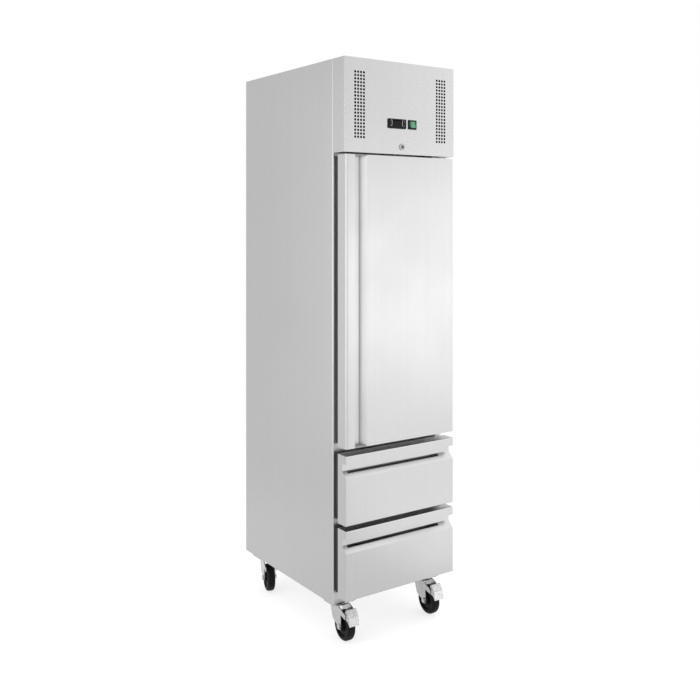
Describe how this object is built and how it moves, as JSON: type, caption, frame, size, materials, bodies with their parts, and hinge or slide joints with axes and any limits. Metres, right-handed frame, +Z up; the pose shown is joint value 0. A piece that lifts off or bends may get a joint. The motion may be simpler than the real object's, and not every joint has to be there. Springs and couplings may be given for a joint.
{
  "type": "upright refrigerator cabinet",
  "caption": "Slim upright commercial refrigerator on castors: door over drawers, grip ledges folded into the steel fronts, perforated machine cover on top with controller and lock.",
  "frame": {"origin": "on the floor under the middle of the bounding box", "axes": "+X towards the door's hinge side, -Y out of the front, +Z up"},
  "size_m": [0.48, 0.7048, 1.982],
  "materials": {
    "cabinet_steel": "satin",
    "galvanised_sheet": "satin",
    "liner_steel": "satin",
    "foam": "matte",
    "panel_plastic": "satin",
    "drawer_plastic": "matte",
    "cap_plastic": "matte",
    "gasket_rubber": "matte",
    "zinc_steel": "satin",
    "wheel_rubber": "satin",
    "controller_plastic": "satin",
    "black_plastic": "satin",
    "green_lens": "gloss",
    "lock_metal": "polished",
    "plug_metal": "polished",
    "wire_coating": "satin",
    "coil_aluminium": "satin",
    "black_paint": "satin",
    "copper": "satin"
  },
  "bodies": {
    "cabinet": {"left_side_panel": "cabinet_steel", "right_side_panel": "cabinet_steel", "back_panel": "galvanised_sheet", "top_cover": "galvanised_sheet", "base_panel": "galvanised_sheet", "insulation": "foam", "inner_liner": "liner_steel", "front_frame": "cabinet_steel", "machine_deck": "galvanised_sheet", "head_panel": "cabinet_steel", "controller": "controller_plastic", "switch_housing": "black_plastic", "lock_housing": "lock_metal", "door_hinges": "zinc_steel", "drawer_slide_rails": "liner_steel", "wire_shelves": "wire_coating", "shelf_supports": "liner_steel", "condenser_coil": "coil_aluminium", "condenser_fan_motor": "black_paint", "compressor": "black_paint", "refrigerant_pipes": "copper", "electrical_box": "black_plastic", "evaporator_coil": "coil_aluminium", "evaporator_cover": "panel_plastic", "evaporator_fan_motor": "black_paint", "castor_plates": "zinc_steel", "castor_bolts": "zinc_steel"},
    "door": {"door_skin": "cabinet_steel", "door_core": "foam", "door_end_caps": "cap_plastic", "door_liner": "panel_plastic", "door_gasket": "gasket_rubber"},
    "drawer_1": {"drawer_1_skin": "cabinet_steel", "drawer_1_core": "drawer_plastic", "drawer_1_gasket": "gasket_rubber", "drawer_1_box": "liner_steel"},
    "drawer_1_middle": {"drawer_1_slide_middle": "liner_steel"},
    "drawer_2": {"drawer_2_skin": "cabinet_steel", "drawer_2_core": "drawer_plastic", "drawer_2_gasket": "gasket_rubber", "drawer_2_box": "liner_steel"},
    "drawer_2_middle": {"drawer_2_slide_middle": "liner_steel"},
    "condenser_fan_blade": {"condenser_fan_blade": "black_plastic"},
    "evaporator_fan_blade": {"evaporator_fan_blade": "black_plastic"},
    "switch_rocker": {"switch_rocker": "green_lens"},
    "lock_plug": {"lock_plug": "plug_metal"},
    "set_button": {"set_button": "controller_plastic"},
    "light_button": {"light_button": "controller_plastic"},
    "up_button": {"up_button": "controller_plastic"},
    "down_button": {"down_button": "controller_plastic"},
    "front_left_fork": {"front_left_fork": "zinc_steel"},
    "front_left_wheel": {"front_left_wheel": "wheel_rubber"},
    "front_left_brake_pedal": {"front_left_brake_pedal": "zinc_steel"},
    "front_right_fork": {"front_right_fork": "zinc_steel"},
    "front_right_wheel": {"front_right_wheel": "wheel_rubber"},
    "front_right_brake_pedal": {"front_right_brake_pedal": "zinc_steel"},
    "rear_left_fork": {"rear_left_fork": "zinc_steel"},
    "rear_left_wheel": {"rear_left_wheel": "wheel_rubber"},
    "rear_right_fork": {"rear_right_fork": "zinc_steel"},
    "rear_right_wheel": {"rear_right_wheel": "wheel_rubber"}
  },
  "joints": [
    {"name": "door_hinge", "type": "hinge", "parent": "cabinet", "child": "door", "pos_m": [0.226, -0.31257, 1.1635], "axis": [0, 0, 1], "range_deg": [0, 110]},
    {"name": "drawer_1_slide", "type": "slide", "parent": "cabinet", "child": "drawer_1", "axis": [0, -1, 0], "range_m": [0, 0.46]},
    {"name": "drawer_1_middle_slide", "type": "slide", "parent": "cabinet", "child": "drawer_1_middle", "axis": [0, -1, 0], "range_m": [0, 0.23]},
    {"name": "drawer_2_slide", "type": "slide", "parent": "cabinet", "child": "drawer_2", "axis": [0, -1, 0], "range_m": [0, 0.46]},
    {"name": "drawer_2_middle_slide", "type": "slide", "parent": "cabinet", "child": "drawer_2_middle", "axis": [0, -1, 0], "range_m": [0, 0.23]},
    {"name": "condenser_fan_spin", "type": "hinge", "parent": "cabinet", "child": "condenser_fan_blade", "pos_m": [0, -0.16608, 1.8045], "axis": [0, 1, 0], "continuous": true},
    {"name": "evaporator_fan_spin", "type": "hinge", "parent": "cabinet", "child": "evaporator_fan_blade", "pos_m": [0, 0.01642, 1.554], "axis": [0, 0, 1], "continuous": true},
    {"name": "set_button_press", "type": "slide", "parent": "cabinet", "child": "set_button", "axis": [0, 1, 0], "range_m": [0, 0.0008], "stiffness_N_per_m": 400, "springref_m": -0.0005},
    {"name": "light_button_press", "type": "slide", "parent": "cabinet", "child": "light_button", "axis": [0, 1, 0], "range_m": [0, 0.0008], "stiffness_N_per_m": 400, "springref_m": -0.0005},
    {"name": "up_button_press", "type": "slide", "parent": "cabinet", "child": "up_button", "axis": [0, 1, 0], "range_m": [0, 0.0008], "stiffness_N_per_m": 400, "springref_m": -0.0005},
    {"name": "down_button_press", "type": "slide", "parent": "cabinet", "child": "down_button", "axis": [0, 1, 0], "range_m": [0, 0.0008], "stiffness_N_per_m": 400, "springref_m": -0.0005},
    {"name": "switch_rocker_tilt", "type": "hinge", "parent": "cabinet", "child": "switch_rocker", "pos_m": [0.0475, -0.34658, 1.7685], "axis": [1, 0, 0], "range_deg": [0, 17]},
    {"name": "lock_turn", "type": "hinge", "parent": "cabinet", "child": "lock_plug", "pos_m": [0.003, -0.34658, 1.689], "axis": [0, 1, 0], "range_deg": [0, 90]},
    {"name": "front_left_swivel", "type": "hinge", "parent": "cabinet", "child": "front_left_fork", "pos_m": [-0.186, -0.23858, 0.1177], "axis": [0, 0, 1], "continuous": true},
    {"name": "front_left_wheel_spin", "type": "hinge", "parent": "front_left_fork", "child": "front_left_wheel", "pos_m": [-0.18783, -0.27353, 0.05], "axis": [0.9986, -0.0523, 0], "continuous": true},
    {"name": "front_left_brake", "type": "hinge", "parent": "front_left_fork", "child": "front_left_brake_pedal", "pos_m": [-0.18945, -0.30449, 0.094], "axis": [0.9986, -0.0523, 0], "range_deg": [0, 12]},
    {"name": "front_right_swivel", "type": "hinge", "parent": "cabinet", "child": "front_right_fork", "pos_m": [0.186, -0.23858, 0.1177], "axis": [0, 0, 1], "continuous": true},
    {"name": "front_right_wheel_spin", "type": "hinge", "parent": "front_right_fork", "child": "front_right_wheel", "pos_m": [0.18417, -0.27353, 0.05], "axis": [0.9986, -0.0523, 0], "continuous": true},
    {"name": "front_right_brake", "type": "hinge", "parent": "front_right_fork", "child": "front_right_brake_pedal", "pos_m": [0.18255, -0.30449, 0.094], "axis": [0.9986, -0.0523, 0], "range_deg": [0, 12]},
    {"name": "rear_left_swivel", "type": "hinge", "parent": "cabinet", "child": "rear_left_fork", "pos_m": [-0.186, 0.26843, 0.1177], "axis": [0, 0, 1], "continuous": true},
    {"name": "rear_left_wheel_spin", "type": "hinge", "parent": "rear_left_fork", "child": "rear_left_wheel", "pos_m": [-0.19623, 0.23495, 0.05], "axis": [0.9563, -0.2924, 0], "continuous": true},
    {"name": "rear_right_swivel", "type": "hinge", "parent": "cabinet", "child": "rear_right_fork", "pos_m": [0.186, 0.26843, 0.1177], "axis": [0, 0, 1], "continuous": true},
    {"name": "rear_right_wheel_spin", "type": "hinge", "parent": "rear_right_fork", "child": "rear_right_wheel", "pos_m": [0.17577, 0.23495, 0.05], "axis": [0.9563, -0.2924, 0], "continuous": true}
  ],
  "couplings": [
    {"joint": "drawer_1_middle_slide", "follows": "drawer_1_slide", "ratio": 0.5},
    {"joint": "drawer_2_middle_slide", "follows": "drawer_2_slide", "ratio": 0.5}
  ]
}
